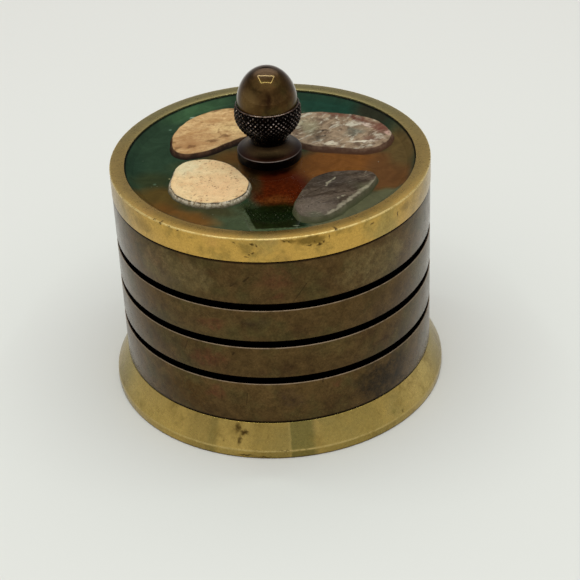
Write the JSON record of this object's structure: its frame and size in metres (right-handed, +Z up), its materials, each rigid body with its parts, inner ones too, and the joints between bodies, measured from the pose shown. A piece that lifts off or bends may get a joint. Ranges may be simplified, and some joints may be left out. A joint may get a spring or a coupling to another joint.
{
  "type": "round trinket box with lift-off lid",
  "caption": "Round lidded brass box on a flared foot, with a grooved dark body, a resin lid set with stones and an acorn knob.",
  "frame": {"origin": "middle of the underside, where the foot stands on the table", "axes": "+Z up along the axis that every turned piece shares, +X to the right as seen from the picture's side, +Y away from the viewer"},
  "size_m": [0.0864, 0.0864, 0.0861],
  "materials": {
    "bright_brass": "satin, lightly tarnished",
    "dark_brass": "dark patinated, satin, grooves black",
    "antique_brass": "dark antique, polished",
    "screw_brass": "satin",
    "tinted_resin": "glossy, clear, tinted teal, amber and red",
    "cream_stone": "polished flat",
    "tan_stone": "polished flat",
    "marbled_stone": "polished flat",
    "slate_stone": "polished flat",
    "green_felt": "matte"
  },
  "bodies": {
    "box": {"base_flange": "bright_brass", "base_felt": "green_felt", "body_tube": "dark_brass"},
    "lid": {"lid_pan": "bright_brass", "lid_collar": "bright_brass", "resin_bed": "tinted_resin", "stone_cream": "cream_stone", "stone_tan": "tan_stone", "stone_marbled": "marbled_stone", "stone_slate": "slate_stone", "acorn_finial": "antique_brass", "finial_screw": "screw_brass", "finial_washer": "screw_brass"}
  },
  "joints": [
    {"name": "lid_lift", "type": "slide", "parent": "box", "child": "lid", "axis": [0, 0, 1], "range_m": [0, 0.09]}
  ]
}
